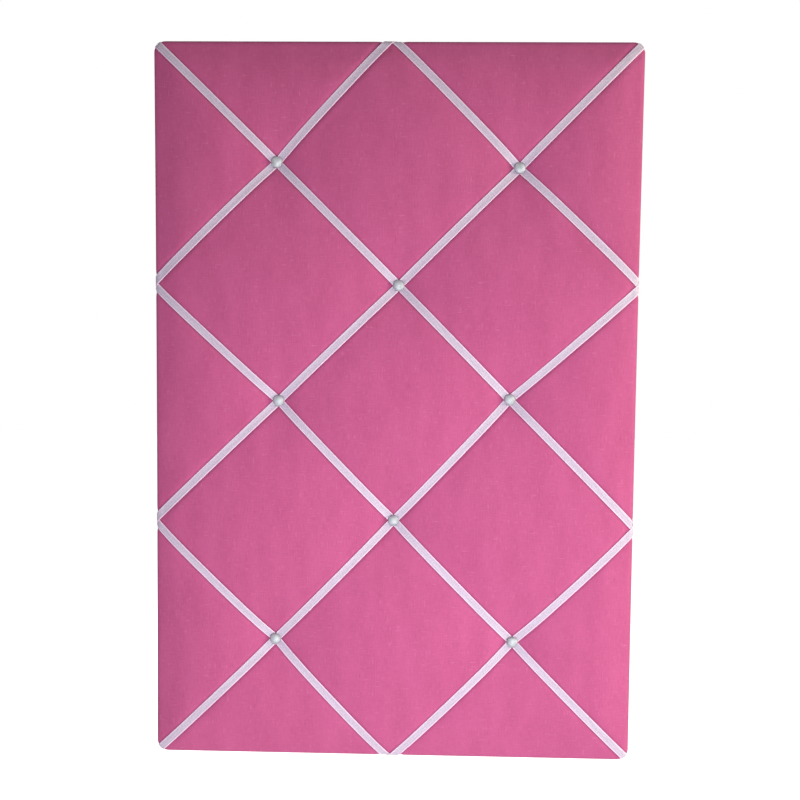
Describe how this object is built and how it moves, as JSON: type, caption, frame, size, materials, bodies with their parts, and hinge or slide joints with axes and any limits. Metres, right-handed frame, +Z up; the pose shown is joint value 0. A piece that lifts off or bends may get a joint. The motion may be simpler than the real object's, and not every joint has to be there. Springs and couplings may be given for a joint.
{
  "type": "padded memo board",
  "caption": "Upright padded fabric pin board with a diagonal lattice of satin ribbon held by domed studs at its crossings; hangs on the wall by hinged D-rings on its back.",
  "frame": {"origin": "middle of the softboard's back face", "axes": "+X to the right as the front is seen, +Z up, +Y out of the back towards the wall; the padded front faces -Y"},
  "size_m": [0.4052, 0.0266, 0.6002],
  "materials": {
    "softboard": "matte",
    "wadding": "matte",
    "cotton": "matte",
    "satin_ribbon": "satin",
    "nickel_stud": "satin",
    "zinc_hanger": "satin",
    "staple_wire": "satin"
  },
  "bodies": {
    "board": {"softboard": "softboard", "wadding": "wadding", "fabric_cover": "cotton", "under_ribbon_1": "satin_ribbon", "under_ribbon_2": "satin_ribbon", "under_ribbon_3": "satin_ribbon", "under_ribbon_4": "satin_ribbon", "over_ribbon_1": "satin_ribbon", "over_ribbon_2": "satin_ribbon", "over_ribbon_3": "satin_ribbon", "over_ribbon_4": "satin_ribbon", "stud_1": "nickel_stud", "stud_2": "nickel_stud", "stud_3": "nickel_stud", "stud_4": "nickel_stud", "stud_5": "nickel_stud", "stud_6": "nickel_stud", "stud_7": "nickel_stud", "stud_8": "nickel_stud", "hanger_strap_left": "zinc_hanger", "hanger_strap_right": "zinc_hanger", "hanger_screw_left": "zinc_hanger", "hanger_screw_right": "zinc_hanger", "ribbon_staple_1": "staple_wire", "ribbon_staple_2": "staple_wire", "ribbon_staple_3": "staple_wire", "ribbon_staple_4": "staple_wire", "ribbon_staple_5": "staple_wire", "ribbon_staple_6": "staple_wire", "ribbon_staple_7": "staple_wire", "ribbon_staple_8": "staple_wire", "ribbon_staple_9": "staple_wire", "ribbon_staple_10": "staple_wire", "ribbon_staple_11": "staple_wire", "ribbon_staple_12": "staple_wire", "ribbon_staple_13": "staple_wire", "ribbon_staple_14": "staple_wire", "ribbon_staple_15": "staple_wire", "ribbon_staple_16": "staple_wire", "hem_staple_1": "staple_wire", "hem_staple_2": "staple_wire", "hem_staple_3": "staple_wire", "hem_staple_4": "staple_wire", "hem_staple_5": "staple_wire", "hem_staple_6": "staple_wire", "hem_staple_7": "staple_wire", "hem_staple_8": "staple_wire", "hem_staple_9": "staple_wire", "hem_staple_10": "staple_wire", "hem_staple_11": "staple_wire", "hem_staple_12": "staple_wire", "hem_staple_13": "staple_wire", "hem_staple_14": "staple_wire", "hem_staple_15": "staple_wire", "hem_staple_16": "staple_wire", "hem_staple_17": "staple_wire", "hem_staple_18": "staple_wire"},
    "left_ring": {"hanger_ring_left": "zinc_hanger"},
    "right_ring": {"hanger_ring_right": "zinc_hanger"}
  },
  "joints": [
    {"name": "left_ring_swing", "type": "hinge", "parent": "board", "child": "left_ring", "pos_m": [-0.13, 0.0023, 0.222], "axis": [-1, 0, 0], "range_deg": [0, 175]},
    {"name": "right_ring_swing", "type": "hinge", "parent": "board", "child": "right_ring", "pos_m": [0.13, 0.0023, 0.222], "axis": [-1, 0, 0], "range_deg": [0, 175]}
  ]
}
